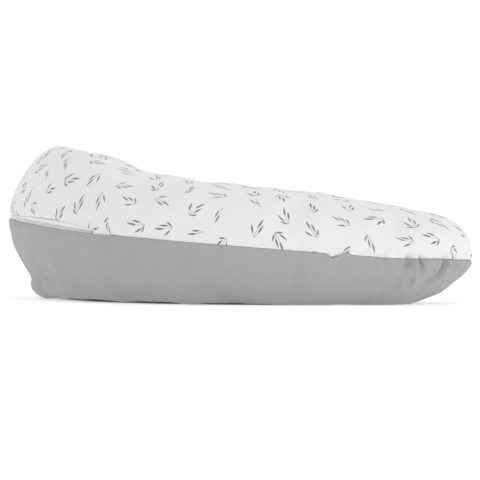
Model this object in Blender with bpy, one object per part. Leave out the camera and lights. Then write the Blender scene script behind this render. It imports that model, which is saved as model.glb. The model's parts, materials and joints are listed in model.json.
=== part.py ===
"""A U-shaped nursing pillow: a stuffed inner pillow in a two-panel cover, with a zip around the
outer bend. Metres, +Z up. The bend faces -Y and the arms and the waist opening face +Y. The
origin is on the resting surface, below the middle of the pillow's width and depth."""

import math

import bmesh
import bpy
import numpy as np
from mathutils import Matrix, Vector

# Plan: a half-ring bend, two arms that curve in a little, and round tips
WIDTH = 0.560
DEPTH = 0.457
ARM_WIDTH = 0.188
ARM_CURVE = 0.300  # radius of the arms' inward curve, along their middle
OUTER_RADIUS = WIDTH / 2
MID_RADIUS = OUTER_RADIUS - ARM_WIDTH / 2
INNER_RADIUS = OUTER_RADIUS - ARM_WIDTH
BEND_Y = OUTER_RADIUS - DEPTH / 2
ARM_TURN = math.asin((DEPTH / 2 - BEND_Y - ARM_WIDTH / 2) / ARM_CURVE)

# Heights, by distance back from the front of the bend
SEAM_FRONT = 0.083
SEAM_SLOPE = 0.145  # steepest at the bend, where the zip lies in one tilted plane
SEAM_STRAIGHT = 0.100
SEAM_EASE = 0.015
SEAM_TIP_SLOPE = 0.078
CROWN = (
    (0.000, 0.1540),
    (0.055, 0.1540),
    (0.095, 0.1420),
    (0.130, 0.1275),
    (0.180, 0.1180),
    (0.282, 0.1070),
    (0.353, 0.0975),
    (0.400, 0.0905),
    (0.457, 0.0890),
)
CREST_SHIFT = 0.039  # how far the crest of the bend sits outside the middle of the ring

# Cross-section: superellipse exponents, and how far the base turns in at the bottom
TOP_POWER_ARM, TOP_POWER_BEND = 2.4, 1.5
BASE_POWER_ARM, BASE_POWER_BEND, BASE_POWER_TIP = 1.8, 1.4, 2.0
BASE_INSET_OUTER, BASE_INSET_BEND, BASE_INSET_WAIST, BASE_INSET_TIP = 0.050, 0.042, 0.040, 0.080

# Layers, as depths below the outer surface
COVER_THICKNESS = 0.0010
LINER_DEPTH = 0.0070
LINER_THICKNESS = 0.0010
FILL_DEPTH = 0.0086
BOTTOM_SINK = 0.0042  # the inner pillow lies this much closer to the cover underneath
SEAM_GAP = 0.0004

# Zip, as heights and depths from its circle, which follows the seam around the bend
ZIP_TILT = math.atan(SEAM_SLOPE)
ZIP_INSET = 0.0005
ZIP_RADIUS = OUTER_RADIUS - ZIP_INSET
ZIP_CENTRE_Y = OUTER_RADIUS * math.cos(ZIP_TILT) - DEPTH / 2
ZIP_CENTRE_Z = SEAM_FRONT - SEAM_SLOPE * (ZIP_CENTRE_Y + DEPTH / 2)
ZIP_STEP = math.radians(5)
TAPE_HALF_ANGLE = math.radians(50)
COIL_HALF_ANGLE = math.radians(47)
SLIDER_REST_ANGLE = math.radians(-45)
OPEN_ABOVE, OPEN_BELOW = 0.0040, 0.0022
OPEN_FULL_ANGLE, OPEN_END_ANGLE = math.radians(45), math.radians(51)
TAPE_FRONT, TAPE_BACK = -0.0038, -0.0044
TAPE_ABOVE, TAPE_BELOW = 0.0080, 0.0065
COIL_FRONT, COIL_BACK = -0.0021, -0.0034
COIL_INNER, COIL_OUTER = 0.00055, 0.00175
STOP_FRONT, STOP_BACK = -0.0020, -0.0034
STOP_LENGTH = 0.0022
STOP_GAP = 0.0004

# Slider and pull tab, in the slider's own axes: X out of the pillow, Y along the zip, Z across it
SLIDER_LENGTH, SLIDER_HEIGHT, SLIDER_TAIL_HEIGHT, PLATE_CORNER = 0.0120, 0.0076, 0.0058, 0.0012
PLATE_FRONT, PLATE_FRONT_INNER = 0.0022, 0.0010
PLATE_BACK, PLATE_BACK_INNER = -0.0058, -0.0050
NECK_START, NECK_END, NECK_HALF = -0.0052, -0.0026, 0.00025
ARCH_HALF_LENGTH, ARCH_HALF_WIDTH, ARCH_TOP, ARCH_WALL = 0.0042, 0.0010, 0.0054, 0.0010
TAB_PIVOT = 0.0032
TAB_LENGTH, TAB_WIDTH, TAB_TIP_WIDTH, TAB_THICKNESS = 0.0220, 0.0064, 0.0050, 0.0010
TAB_TIP_STEPS = 8
TAB_BAR = 0.0006
TAB_HOLE_END, TAB_HOLE_HALF = 0.0066, 0.0016

# Care label, in the waist-side seam
LABEL_ANGLE = math.radians(-62)
LABEL_WIDTH, LABEL_DROP, LABEL_THICKNESS = 0.030, 0.024, 0.0006
LABEL_STEPS = 6

CLOTH_SMOOTH_ANGLE = 60  # edges that bend by more than this stay sharp

COLOURS = {
    "printed_cotton": ((0.80, 0.80, 0.80), 0.85, 0.0),
    "grey_cotton": ((0.37, 0.37, 0.375), 0.85, 0.0),
    "lining": ((0.82, 0.82, 0.80), 0.90, 0.0),
    "fibre": ((0.88, 0.88, 0.88), 0.95, 0.0),
    "zip_tape": ((0.84, 0.84, 0.84), 0.80, 0.0),
    "zip_coil": ((0.86, 0.86, 0.86), 0.40, 0.0),
    "zip_metal": ((0.70, 0.70, 0.71), 0.35, 1.0),
    "label": ((0.86, 0.86, 0.86), 0.60, 0.0),
}


def clear_scene():
    for thing in list(bpy.data.objects):
        bpy.data.objects.remove(thing, do_unlink=True)


def material(name):
    if name in bpy.data.materials:
        return bpy.data.materials[name]
    colour, roughness, metallic = COLOURS[name]
    made = bpy.data.materials.new(name)
    made.use_nodes = True
    shader = made.node_tree.nodes["Principled BSDF"]
    shader.inputs["Base Color"].default_value = (*colour, 1.0)
    shader.inputs["Roughness"].default_value = roughness
    shader.inputs["Metallic"].default_value = metallic
    return made


def add_object(name, points, faces, slot, smooth_angle=None):
    """One closed solid from points and faces, with its faces turned outward."""
    mesh = bpy.data.meshes.new(name)
    mesh.from_pydata([tuple(map(float, p)) for p in points], [], faces)
    shape = bmesh.new()
    shape.from_mesh(mesh)
    bmesh.ops.recalc_face_normals(shape, faces=shape.faces)
    if shape.calc_volume(signed=True) < 0:
        bmesh.ops.reverse_faces(shape, faces=shape.faces)
    shape.to_mesh(mesh)
    shape.free()
    mesh.materials.append(material(slot))
    if smooth_angle is not None:
        mesh.shade_smooth()
        mesh.set_sharp_from_angle(angle=math.radians(smooth_angle))
    made = bpy.data.objects.new(name, mesh)
    bpy.context.scene.collection.objects.link(made)
    return made


def ease(value):
    """0 below 0, 1 above 1, and a smooth step between."""
    value = min(max(value, 0.0), 1.0)
    return value * value * (3 - 2 * value)


def seam_height(back):
    """Height of the seam between the panels, at a distance back from the front of the bend."""
    if back <= SEAM_STRAIGHT:
        return SEAM_FRONT - SEAM_SLOPE * back
    past = back - SEAM_STRAIGHT
    eased = (SEAM_SLOPE - SEAM_TIP_SLOPE) * SEAM_EASE * (1 - math.exp(-past / SEAM_EASE))
    return SEAM_FRONT - SEAM_SLOPE * SEAM_STRAIGHT - SEAM_TIP_SLOPE * past - eased


def crown_height(back):
    """Height of the crest, a smooth curve through the CROWN stations."""
    places, heights = np.array(CROWN).T
    slopes = np.gradient(heights, places)
    slopes[0] = slopes[1] = 0
    i = int(np.clip(np.searchsorted(places, back) - 1, 0, len(places) - 2))
    gap = places[i + 1] - places[i]
    t = min(max((back - places[i]) / gap, 0.0), 1.0)
    start = heights[i] * (1 + 2 * t) + slopes[i] * gap * t
    end = heights[i + 1] * (3 - 2 * t) - slopes[i + 1] * gap * (1 - t)
    return start * (1 - t) ** 2 + end * t * t


def mid_line(bend_steps, arm_steps):
    """Stations along the middle of the U, from the +X tip to the -X tip: the point, the
    direction out of the U, and how much of the bend's own shape the station has, 1 at the front."""
    stations = []
    for i in range(arm_steps):
        turn = ARM_TURN * (1 - i / arm_steps)
        out = Vector((math.cos(turn), math.sin(turn)))
        point = out * ARM_CURVE + Vector((MID_RADIUS - ARM_CURVE, BEND_Y))
        stations.append((point, out, 0.0))
    for i in range(bend_steps + 1):
        angle = -math.pi * i / bend_steps
        out = Vector((math.cos(angle), math.sin(angle)))
        stations.append((out * MID_RADIUS + Vector((0, BEND_Y)), out, out.y**2))
    mirrored = [(Vector((-p.x, p.y)), Vector((-o.x, o.y)), w) for p, o, w in stations[:arm_steps]]
    return stations + mirrored[::-1]


def outline(stations, tip_steps):
    """The seam's plan, a closed loop. Each point has its plan position, its station, the point's
    bend weight, tip weight and side: 1 outside the U, -1 on the waist side, 0 around a tip."""
    half = ARM_WIDTH / 2
    last = len(stations) - 1
    loop = [(p + o * half, i, w, 0.0, 1) for i, (p, o, w) in enumerate(stations)]
    loop += tip_points(stations[last], last, tip_steps, 1)
    loop += [(p - o * half, i, w, 0.0, -1) for i, (p, o, w) in reversed(list(enumerate(stations)))]
    loop += tip_points(stations[0], 0, tip_steps, -1)
    return loop


def tip_points(station, index, steps, start_side):
    """The points around one tip, from the side that start_side names to the other."""
    point, out, weight = station
    forward = Vector((-out.y, out.x)) if out.x > 0 else Vector((out.y, -out.x))
    found = []
    for i in range(1, steps):
        angle = math.pi * i / steps
        aside = out * (math.cos(angle) * start_side) + forward * math.sin(angle)
        found.append((point + aside * ARM_WIDTH / 2, index, weight, math.sin(angle), 0))
    return found


def section(entry, stations, top_rows, base_rows):
    """The points from the crest, over the seam, to the middle of the bottom, at one place on the
    outline, with the row that is the seam."""
    plan, index, weight, tip, side = entry
    middle, out, _ = stations[index]
    crest = middle + out * (CREST_SHIFT * weight)
    back = plan.y + DEPTH / 2
    low = seam_height(back)
    power = TOP_POWER_ARM + (TOP_POWER_BEND - TOP_POWER_ARM) * weight
    rows = []
    for i in range(top_rows, 0, -1):
        angle = math.pi / 2 * i / top_rows
        inward = 1 - math.cos(angle) ** (2 / power) if i < top_rows else 1.0
        rise = math.sin(angle) ** (2 / power)
        flat = plan.lerp(crest, inward)
        high = crown_height(flat.y + DEPTH / 2)
        rows.append((flat.x, flat.y, low + (high - low) * rise))
    inset, power = base_shape(weight, tip, side)
    toward = (middle - plan).normalized()
    for i in range(base_rows + 1):
        angle = math.pi / 2 * i / base_rows
        inward = inset * (1 - math.cos(angle) ** (2 / power)) if i < base_rows else inset
        fall = math.sin(angle) ** (2 / power)
        flat = plan + toward * inward
        rows.append((flat.x, flat.y, low * (1 - fall)))
    rows.append((middle.x, middle.y, 0.0))
    return rows


def base_shape(weight, tip, side):
    """How far the base turns in, and its superellipse exponent."""
    if side < 0:
        return BASE_INSET_WAIST, BASE_POWER_ARM
    inset = BASE_INSET_OUTER + (BASE_INSET_BEND - BASE_INSET_OUTER) * weight
    power = BASE_POWER_ARM + (BASE_POWER_BEND - BASE_POWER_ARM) * weight
    inset += (BASE_INSET_TIP - inset) * tip
    power += (BASE_POWER_TIP - power) * tip
    return inset, power


class Surface:
    """The pillow's outer surface as a grid: rows from crest to bottom, columns around the outline."""

    def __init__(self, bend_steps, arm_steps, tip_steps, top_rows, base_rows):
        stations = mid_line(bend_steps, arm_steps)
        loop = outline(stations, tip_steps)
        columns = [section(entry, stations, top_rows, base_rows) for entry in loop]
        self.points = np.array(columns).transpose(1, 0, 2)
        self.station = np.array([entry[1] for entry in loop])
        self.side = np.array([entry[4] for entry in loop])
        self.seam = top_rows
        self.normals = self.find_normals()

    def find_normals(self):
        """Unit normals that point out, shared by the columns that meet on the two middle lines."""
        around = np.roll(self.points, -1, axis=1) - np.roll(self.points, 1, axis=1)
        down = np.gradient(self.points, axis=0)
        normals = np.cross(around, down)
        out = self.points[self.seam, :, :2] - self.points[-1, :, :2]
        if (normals[self.seam, :, :2] * out).sum() < 0:
            normals = -normals
        for row in (0, -1):
            for station in set(self.station):
                same = self.station == station
                normals[row, same] = normals[row, same].sum(axis=0)
        return normals / np.linalg.norm(normals, axis=2, keepdims=True)

    def rows_to_seam(self, top):
        """Row numbers from the crest, or else from the middle of the bottom, to the seam."""
        if top:
            return list(range(self.seam + 1))
        return list(range(len(self.points) - 1, self.seam - 1, -1))

    def sunk(self, depth, bottom_sink=0.0):
        """The grid moved in by depth, with what faces down moved in by less."""
        moved = self.points - self.normals * depth
        moved[:, :, 2] -= bottom_sink * np.clip(-self.normals[:, :, 2], 0, 1) ** 2
        return moved


def middle_ids(surface, row, base):
    """Point numbers of a grid row, one number per station where the row is a middle line."""
    count = len(surface.station)
    if row == 0:
        return base + surface.station
    return base + surface.station.max() + 1 + (row - 1) * count + np.arange(count)


def grid_faces(ids):
    """Triangles between neighbouring rows of point numbers, closed around the columns. Every layer
    splits its quads the same way, so that layers of bent quads stay apart."""
    faces = []
    for upper, lower in zip(ids, ids[1:]):
        for a, b, c, d in zip(upper, np.roll(upper, -1), np.roll(lower, -1), lower):
            for corners in ((a, b, c), (a, c, d)):
                if len(set(corners)) == 3:
                    faces.append([int(corner) for corner in corners])
    return faces


def skin(surface, grid, rows, base):
    """Points, faces and last row of numbers for the grid's rows, from a middle line to an edge."""
    stations = surface.station.max() + 1
    first = [grid[rows[0], np.argmax(surface.station == s)] for s in range(stations)]
    points = first + [p for row in rows[1:] for p in grid[row]]
    ids = [middle_ids(surface, i, base) for i in range(len(rows))]
    return points, grid_faces(ids), ids[-1]


def panel(name, surface, top, depth, thickness, slot, edge_moves, bottom_sink=0.0):
    """A fabric panel: an outer and an inner skin joined along the seam. edge_moves gives how far
    each point of the edge stands back from the seam's own line."""
    rows = surface.rows_to_seam(top)
    points, faces, edges = [], [], []
    for layer in (depth, depth + thickness):
        grid = surface.sunk(layer, bottom_sink)
        near = grid[rows[-2]]
        edge = grid[rows[-1]]
        share = edge_moves / np.abs(near[:, 2] - edge[:, 2])
        grid[rows[-1]] = edge + (near - edge) * share[:, None]
        more, sides, last = skin(surface, grid, rows, len(points))
        points += more
        faces += sides
        edges.append(last)
    faces += grid_faces(edges)
    return add_object(name, points, faces, slot, CLOTH_SMOOTH_ANGLE)


def sewn_edge(surface):
    return np.full(len(surface.station), SEAM_GAP / 2)


def zip_edge(surface, opening):
    """Distance of a panel's edge from the seam line, wider along the zip."""
    moves = []
    for x, y, _ in surface.points[surface.seam]:
        angle = abs(math.atan2(x, BEND_Y - y))
        share = ease((OPEN_END_ANGLE - angle) / (OPEN_END_ANGLE - OPEN_FULL_ANGLE))
        moves.append(SEAM_GAP / 2 + (opening - SEAM_GAP / 2) * share)
    return np.where(surface.side > 0, moves, SEAM_GAP / 2)


def fill(name, surface, depth, slot):
    """One closed solid inside the surface, its two halves joined along the seam."""
    grid = surface.sunk(depth, BOTTOM_SINK)
    points, faces, edge = skin(surface, grid, surface.rows_to_seam(True), 0)
    more, sides, other = skin(surface, grid, surface.rows_to_seam(False), len(points))
    same = dict(zip(map(int, other), map(int, edge)))
    faces += [[same.get(i, i) for i in face] for face in sides]
    return add_object(name, *drop_unused(points + more, faces), slot, CLOTH_SMOOTH_ANGLE)


def drop_unused(points, faces):
    used = sorted({i for face in faces for i in face})
    number = {old: new for new, old in enumerate(used)}
    return [points[i] for i in used], [[number[i] for i in face] for face in faces]


def zip_frame(angle):
    """The matrix of the zip's own axes at an angle around the bend, 0 at the front: X out, Y along
    the zip towards +X at the front, Z across it, up along the hinge axis."""
    tilt = Matrix.Rotation(ZIP_TILT, 4, "X").inverted()
    centre = Matrix.Translation((0, ZIP_CENTRE_Y, ZIP_CENTRE_Z))
    around = Matrix.Rotation(angle - math.pi / 2, 4, "Z")
    return centre @ tilt @ around @ Matrix.Translation((ZIP_RADIUS, 0, 0))


def zip_bar(name, profile, start, end, slot):
    """A bar along the zip's circle. profile is a loop of (out, across) corners."""
    steps = max(1, round((end - start) / ZIP_STEP))
    rings = []
    for i in range(steps + 1):
        frame = zip_frame(start + (end - start) * i / steps)
        rings.append([frame @ Vector((out, 0, across)) for out, across in profile])
    count = len(profile)
    ids = [[i * count + j for j in range(count)] for i in range(steps + 1)]
    faces = grid_faces([np.array(ring) for ring in ids])
    faces += [ids[0], ids[-1]]
    return add_object(name, [p for ring in rings for p in ring], faces, slot)


def box_profile(out_low, out_high, across_low, across_high):
    return [
        (out_low, across_low),
        (out_high, across_low),
        (out_high, across_high),
        (out_low, across_high),
    ]


def coil_profile(sign):
    """A rounded half-coil section above (1) or below (-1) the zip's middle."""
    middle_out = (COIL_FRONT + COIL_BACK) / 2
    half = (COIL_FRONT - COIL_BACK) / 2
    middle, reach = (COIL_INNER + COIL_OUTER) / 2, (COIL_OUTER - COIL_INNER) / 2
    angles = [math.pi / 3 * i for i in range(6)]
    return [(middle_out + half * math.cos(a), sign * (middle + reach * math.sin(a))) for a in angles]


def make_zip():
    gap, length = STOP_GAP / ZIP_RADIUS, STOP_LENGTH / ZIP_RADIUS
    top_start = -COIL_HALF_ANGLE - gap - length
    bottom_start = COIL_HALF_ANGLE + gap
    for part, sign, reach in (("upper", 1, TAPE_ABOVE), ("lower", -1, TAPE_BELOW)):
        tape = box_profile(TAPE_BACK, TAPE_FRONT, *sorted((sign * COIL_INNER, sign * reach)))
        zip_bar(f"zip_tape_{part}", tape, -TAPE_HALF_ANGLE, TAPE_HALF_ANGLE, "zip_tape")
        coil = coil_profile(sign)
        zip_bar(f"zip_coil_{part}", coil, -COIL_HALF_ANGLE, COIL_HALF_ANGLE, "zip_coil")
        stop = box_profile(STOP_BACK, STOP_FRONT, *sorted((sign * COIL_INNER, sign * COIL_OUTER)))
        zip_bar(f"zip_top_stop_{part}", stop, top_start, top_start + length, "zip_metal")
    stop = box_profile(STOP_BACK, STOP_FRONT, -COIL_OUTER, COIL_OUTER)
    zip_bar("zip_bottom_stop", stop, bottom_start, bottom_start + length, "zip_metal")


def prism(name, outline_yz, low, high, slot):
    """An outline in the slider's Y and Z, extruded along its X."""
    count = len(outline_yz)
    points = [(x, y, z) for x in (low, high) for y, z in outline_yz]
    ids = [np.arange(count), np.arange(count) + count]
    faces = grid_faces(ids) + [list(range(count)), list(range(count, 2 * count))]
    return add_object(name, points, faces, slot)


def add_boolean(target, tool, operation):
    tool.hide_render = True
    tool.display_type = "WIRE"
    cut = target.modifiers.new(tool.name, "BOOLEAN")
    cut.operation = operation
    cut.object = tool
    cut.solver = "EXACT"


def rectangle(y_low, y_high, half):
    return [(y_low, -half), (y_high, -half), (y_high, half), (y_low, half)]


def plate_outline():
    """The slider's plate: wide shoulders at the leading end, narrower at the tail."""
    half, shoulder, tail = SLIDER_LENGTH / 2, SLIDER_HEIGHT / 2, SLIDER_TAIL_HEIGHT / 2
    corner = PLATE_CORNER
    side = [
        (-half, shoulder - 2 * corner),
        (-half + corner, shoulder - corner / 2),
        (-half + 2 * corner, shoulder),
        (-corner, shoulder),
        (2 * corner, tail),
        (half - corner / 2, tail),
        (half, tail - corner / 2),
    ]
    return side + [(y, -z) for y, z in reversed(side)]


def make_slider():
    """The slider's body: two plates on a neck, and an arch that holds the pull tab."""
    overlap = (PLATE_FRONT - PLATE_FRONT_INNER) / 2
    inner = ARCH_HALF_LENGTH - ARCH_WALL
    neck_line = rectangle(NECK_START, NECK_END, NECK_HALF)
    arch_line = rectangle(-ARCH_HALF_LENGTH, ARCH_HALF_LENGTH, ARCH_HALF_WIDTH)
    clear_line = rectangle(-inner, inner, SLIDER_HEIGHT)
    neck_back, neck_front = PLATE_BACK_INNER - overlap, PLATE_FRONT_INNER + overlap
    body = prism("zip_slider", plate_outline(), PLATE_FRONT_INNER, PLATE_FRONT, "zip_metal")
    back = prism("slider_back_plate", plate_outline(), PLATE_BACK, PLATE_BACK_INNER, "zip_metal")
    neck = prism("slider_neck", neck_line, neck_back, neck_front, "zip_metal")
    arch = prism("slider_arch", arch_line, PLATE_FRONT - overlap, ARCH_TOP, "zip_metal")
    clear = prism("arch_clearance", clear_line, PLATE_FRONT, ARCH_TOP - ARCH_WALL, "zip_metal")
    for tool in (back, neck, arch):
        add_boolean(body, tool, "UNION")
    add_boolean(body, clear, "DIFFERENCE")
    frame = zip_frame(SLIDER_REST_ANGLE)
    for piece in (body, back, neck, arch, clear):
        piece.matrix_world = frame


def make_pull_tab():
    """The tab's origin is on its hinge, the bar that the slider's arch holds."""
    half, tip = TAB_WIDTH / 2, TAB_TIP_WIDTH / 2
    end = TAB_LENGTH - tip
    rounded = [math.pi / 2 - math.pi * i / TAB_TIP_STEPS for i in range(TAB_TIP_STEPS + 1)]
    line = [(-TAB_BAR, -half), (-TAB_BAR, half), (TAB_HOLE_END, half)]
    line += [(end + tip * math.cos(a), tip * math.sin(a)) for a in rounded]
    line += [(TAB_HOLE_END, -half)]
    tab = prism("zip_pull_tab", line, -TAB_THICKNESS / 2, TAB_THICKNESS / 2, "zip_metal")
    hole_line = rectangle(TAB_BAR, TAB_HOLE_END, TAB_HOLE_HALF)
    hole = prism("tab_hole", hole_line, -TAB_THICKNESS, TAB_THICKNESS, "zip_metal")
    add_boolean(tab, hole, "DIFFERENCE")
    frame = zip_frame(SLIDER_REST_ANGLE) @ Matrix.Translation((TAB_PIVOT, 0, 0))
    for piece in (tab, hole):
        piece.matrix_world = frame


def make_label():
    """A label that hangs from the waist-side seam, curved with it."""
    radius = INNER_RADIUS - SEAM_GAP
    half_angle = LABEL_WIDTH / 2 / radius
    points = []
    for i in range(LABEL_STEPS + 1):
        angle = LABEL_ANGLE + half_angle * (2 * i / LABEL_STEPS - 1)
        top = seam_height(BEND_Y + radius * math.sin(angle) + DEPTH / 2)
        bottom = top - LABEL_DROP
        back = radius - LABEL_THICKNESS
        for r, z in ((radius, top), (radius, bottom), (back, bottom), (back, top)):
            points.append((r * math.cos(angle), BEND_Y + r * math.sin(angle), z))
    ids = [np.arange(4) + 4 * i for i in range(LABEL_STEPS + 1)]
    faces = grid_faces(ids) + [list(map(int, ids[0])), list(map(int, ids[-1]))]
    return add_object("care_label", points, faces, "label")


def main():
    clear_scene()
    cover = Surface(bend_steps=36, arm_steps=2, tip_steps=10, top_rows=4, base_rows=4)
    edges = zip_edge(cover, OPEN_ABOVE), zip_edge(cover, OPEN_BELOW)
    panel("cover_top", cover, True, 0.0, COVER_THICKNESS, "printed_cotton", edges[0])
    panel("cover_base", cover, False, 0.0, COVER_THICKNESS, "grey_cotton", edges[1])
    inner = Surface(bend_steps=18, arm_steps=1, tip_steps=6, top_rows=3, base_rows=3)
    for name, top in (("liner_top", True), ("liner_base", False)):
        edge = sewn_edge(inner)
        panel(name, inner, top, LINER_DEPTH, LINER_THICKNESS, "lining", edge, BOTTOM_SINK)
    fill("fibre_fill", inner, FILL_DEPTH, "fibre")
    make_zip()
    make_slider()
    make_pull_tab()
    make_label()


main()
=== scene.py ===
import json
import math
from functools import partial

import bmesh
import bpy
import numpy as np
from mathutils import Matrix, Vector


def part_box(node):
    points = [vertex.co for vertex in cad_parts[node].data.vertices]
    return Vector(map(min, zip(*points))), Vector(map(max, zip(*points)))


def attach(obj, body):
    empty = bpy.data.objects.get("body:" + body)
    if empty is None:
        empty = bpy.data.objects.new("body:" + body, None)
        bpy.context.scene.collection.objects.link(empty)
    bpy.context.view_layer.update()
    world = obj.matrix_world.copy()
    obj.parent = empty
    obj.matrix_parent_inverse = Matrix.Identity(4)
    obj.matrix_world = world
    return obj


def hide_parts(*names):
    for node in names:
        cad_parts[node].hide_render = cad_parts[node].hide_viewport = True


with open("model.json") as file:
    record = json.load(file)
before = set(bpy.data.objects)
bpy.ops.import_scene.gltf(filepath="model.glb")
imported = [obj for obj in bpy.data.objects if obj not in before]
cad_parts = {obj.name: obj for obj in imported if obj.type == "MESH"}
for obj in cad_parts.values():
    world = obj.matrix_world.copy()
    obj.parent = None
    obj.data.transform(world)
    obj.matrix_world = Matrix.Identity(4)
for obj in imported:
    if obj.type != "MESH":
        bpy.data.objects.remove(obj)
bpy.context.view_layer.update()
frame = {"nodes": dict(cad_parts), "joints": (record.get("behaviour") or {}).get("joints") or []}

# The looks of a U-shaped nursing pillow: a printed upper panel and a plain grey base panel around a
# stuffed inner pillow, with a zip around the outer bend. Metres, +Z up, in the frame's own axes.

# Plan of the cover, as the CAD model has it, and its heights and sections, a little softer than there
WIDTH, DEPTH, ARM_WIDTH, ARM_CURVE = 0.560, 0.457, 0.188, 0.300
OUTER_RADIUS = WIDTH / 2
MID_RADIUS = OUTER_RADIUS - ARM_WIDTH / 2
INNER_RADIUS = OUTER_RADIUS - ARM_WIDTH
BEND_Y = OUTER_RADIUS - DEPTH / 2
ARM_TURN = math.asin((DEPTH / 2 - BEND_Y - ARM_WIDTH / 2) / ARM_CURVE)
SEAM_FRONT, SEAM_SLOPE, SEAM_STRAIGHT, SEAM_EASE, SEAM_TIP_SLOPE = 0.083, 0.145, 0.100, 0.015, 0.078
SEAM_TIP_RISE, RISE_START, RISE_LENGTH = 0.0026, 0.375, 0.060  # the seam is nearly level at the tips
CROWN = np.array((
    (0.000, 0.1535), (0.050, 0.1535), (0.095, 0.1420), (0.130, 0.1290), (0.180, 0.1190),
    (0.230, 0.1108), (0.282, 0.1062), (0.353, 0.0976), (0.400, 0.0895), (0.457, 0.0865),
))
CREST_SHIFT = 0.048
BASE_INSET_OUTER, BASE_INSET_BEND, BASE_INSET_WAIST, BASE_INSET_TIP = 0.050, 0.040, 0.040, 0.065
BASE_POWER_ARM, BASE_POWER_BEND, BASE_POWER_TIP = 1.8, 1.36, 1.40
TOP_POWER_ARM, TOP_POWER_BEND, TOP_POWER_TIP = 2.4, 1.34, 3.8
CREST_ROUND = 0.06  # share of the width from the crest to the seam that is rounded over

# Grids of the cloth. The coarse grid, which is simulated, has a third of the fine one's steps.
BEND_STEPS, ARM_STEPS, TIP_STEPS, TOP_ROWS, BASE_ROWS = 324, 72, 240, 51, 51
COARSE = 3
ROW_CROWDING = 1.35  # rows stand closer together towards the seam
CLOTH_THICKNESS = 0.0011
SEAM_GAP = 0.0004

# Zip, from the frame's joints: its circle's centre, tilt and radius
JOINTS = {joint["name"]: joint for joint in frame["joints"]}
ZIP_CENTRE = Vector(JOINTS["zip_travel"]["pos_m"])
ZIP_AXIS = Vector(JOINTS["zip_travel"]["axis"])
ZIP_TILT = math.atan2(ZIP_AXIS.y, ZIP_AXIS.z)
ZIP_RADIUS = OUTER_RADIUS - 0.0005
TAPE_HALF_ANGLE, COIL_HALF_ANGLE = math.radians(54), math.radians(47)
# How far each folded edge stands from the zip's middle, by the angle around the bend
OPEN_ANGLES = np.radians((0, 15, 26, 35, 42, 46, 49.5, 52.5, 53.5))
OPEN_ABOVE = (0.0027, 0.0031, 0.0046, 0.0058, 0.0046, 0.0031, 0.0014, 0.0005, 0.0001)
OPEN_BELOW = (0.0029, 0.0031, 0.0031, 0.0029, 0.0025, 0.0021, 0.0014, 0.0005, 0.0001)
TOPSTITCH = 0.0030  # from the folded edge
NO_ANGLE = 9.0  # stands for the angle around the bend where there is no zip


# ---------------- the pillow's shape

def seam_height(back):
    past = np.maximum(back - SEAM_STRAIGHT, 0)
    eased = (SEAM_SLOPE - SEAM_TIP_SLOPE) * SEAM_EASE * (1 - np.exp(-past / SEAM_EASE))
    eased -= SEAM_TIP_RISE * smooth_step((back - RISE_START) / RISE_LENGTH)
    return SEAM_FRONT - SEAM_SLOPE * np.minimum(back, SEAM_STRAIGHT) - SEAM_TIP_SLOPE * past - eased


def crown_height(back):
    places, heights = CROWN.T
    slopes = np.gradient(heights, places)
    slopes[:2] = 0
    i = np.clip(np.searchsorted(places, back) - 1, 0, len(places) - 2)
    gap = places[i + 1] - places[i]
    t = np.clip((back - places[i]) / gap, 0, 1)
    start = heights[i] * (1 + 2 * t) + slopes[i] * gap * t
    end = heights[i + 1] * (3 - 2 * t) - slopes[i + 1] * gap * (1 - t)
    return start * (1 - t) ** 2 + end * t * t


def mid_line(bend_steps, arm_steps):
    """Points along the middle of the U from the +X tip to the -X tip, the direction out of the U at
    each, and how much of the bend's own shape each has, 1 at the front."""
    turn = ARM_TURN * (1 - np.arange(arm_steps) / arm_steps)
    arm_out = np.stack((np.cos(turn), np.sin(turn)), axis=1)
    arm = arm_out * ARM_CURVE + (MID_RADIUS - ARM_CURVE, BEND_Y)
    angle = -math.pi * np.arange(bend_steps + 1) / bend_steps
    bend_out = np.stack((np.cos(angle), np.sin(angle)), axis=1)
    bend = bend_out * MID_RADIUS + (0, BEND_Y)
    mirror = np.array((-1, 1))
    middle = np.concatenate((arm, bend, arm[::-1] * mirror))
    out = np.concatenate((arm_out, bend_out, arm_out[::-1] * mirror))
    none = np.zeros(arm_steps)
    return middle, out, np.concatenate((none, bend_out[:, 1] ** 2, none))


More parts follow.
